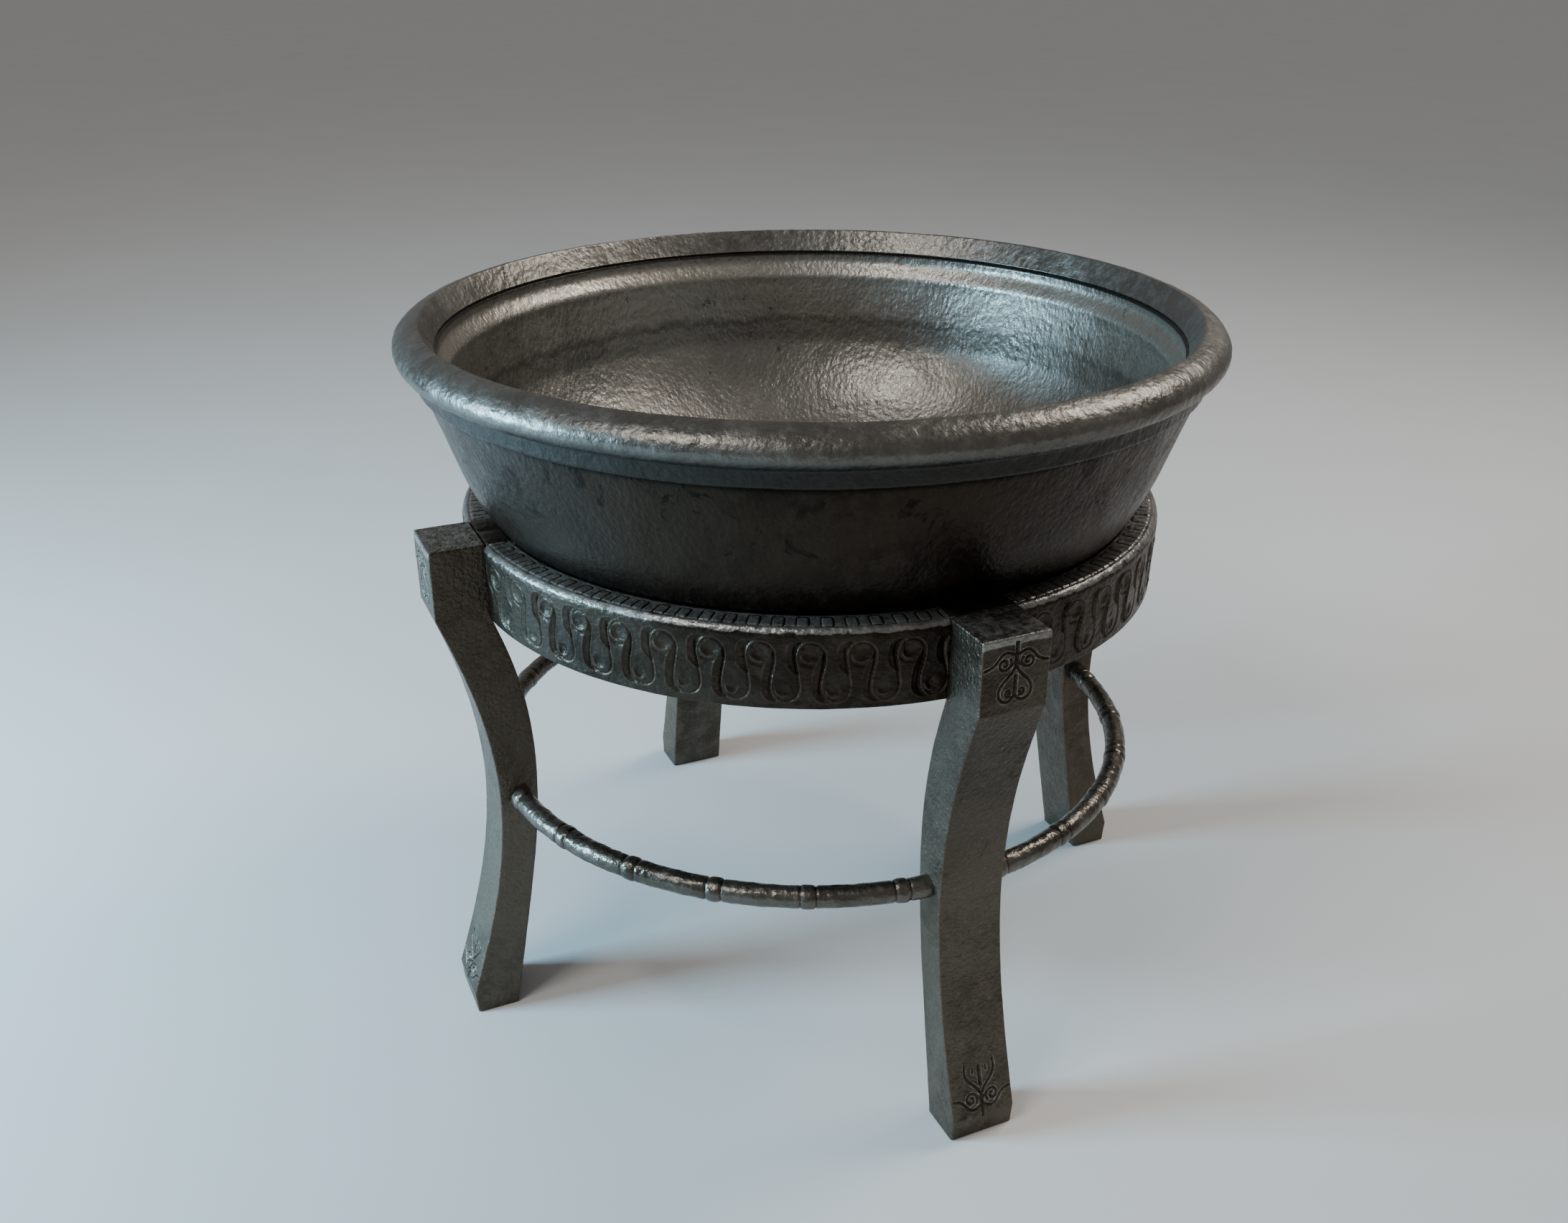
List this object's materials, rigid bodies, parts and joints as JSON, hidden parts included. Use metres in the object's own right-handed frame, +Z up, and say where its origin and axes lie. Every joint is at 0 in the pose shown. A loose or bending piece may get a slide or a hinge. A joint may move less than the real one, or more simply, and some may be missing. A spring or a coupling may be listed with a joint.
{
  "type": "coal forge",
  "caption": "Round cast-iron coal forge: a deep rolled-rim fire bowl lifting out of an ornamental ring stand with curved legs joined by bent bars, and an air pot with an ash gate below.",
  "frame": {"origin": "on the floor under the middle of the bowl", "axes": "+Z up; -Y is the front, midway between the two front legs; the air inlet points to +Y"},
  "size_m": [0.68, 0.68, 0.6052],
  "materials": {
    "bowl_iron": "burnished dark brown-grey iron with a fine hammered skin, stains and worn edges",
    "stand_iron": "dark brown-grey iron with a coarse hammered skin, rust in the corners and bright worn edges",
    "pot_iron": "dull sooty sand-cast iron",
    "grate_iron": "scaled, heat-browned iron",
    "gate_steel": "dark rolled steel plate with worn edges",
    "fastener_steel": "darkened steel"
  },
  "bodies": {
    "stand": {"stand_ring": "stand_iron", "leg_front_right": "stand_iron", "leg_back_right": "stand_iron", "leg_back_left": "stand_iron", "leg_front_left": "stand_iron", "leg_screws": "fastener_steel", "stretcher_right": "stand_iron", "stretcher_back": "stand_iron", "stretcher_left": "stand_iron", "stretcher_front": "stand_iron", "tenon_pins": "fastener_steel"},
    "bowl": {"fire_bowl": "bowl_iron", "rim_hoop": "bowl_iron", "air_pot": "pot_iron", "flange_bolts": "fastener_steel", "flange_nuts": "fastener_steel", "gate_pivot_bolt": "fastener_steel", "gate_pivot_nut": "fastener_steel"},
    "grate": {"fire_grate": "grate_iron"},
    "gate": {"ash_gate": "gate_steel"}
  },
  "joints": [
    {"name": "bowl_lift", "type": "slide", "parent": "stand", "child": "bowl", "axis": [0, 0, 1], "range_m": [0, 0.2]},
    {"name": "grate_lift", "type": "slide", "parent": "bowl", "child": "grate", "axis": [0, 0, 1], "range_m": [0, 0.1]},
    {"name": "gate_swing", "type": "hinge", "parent": "bowl", "child": "gate", "pos_m": [0.0645, 0, 0.262], "axis": [0, 0, 1], "range_deg": [-100, 100]}
  ]
}
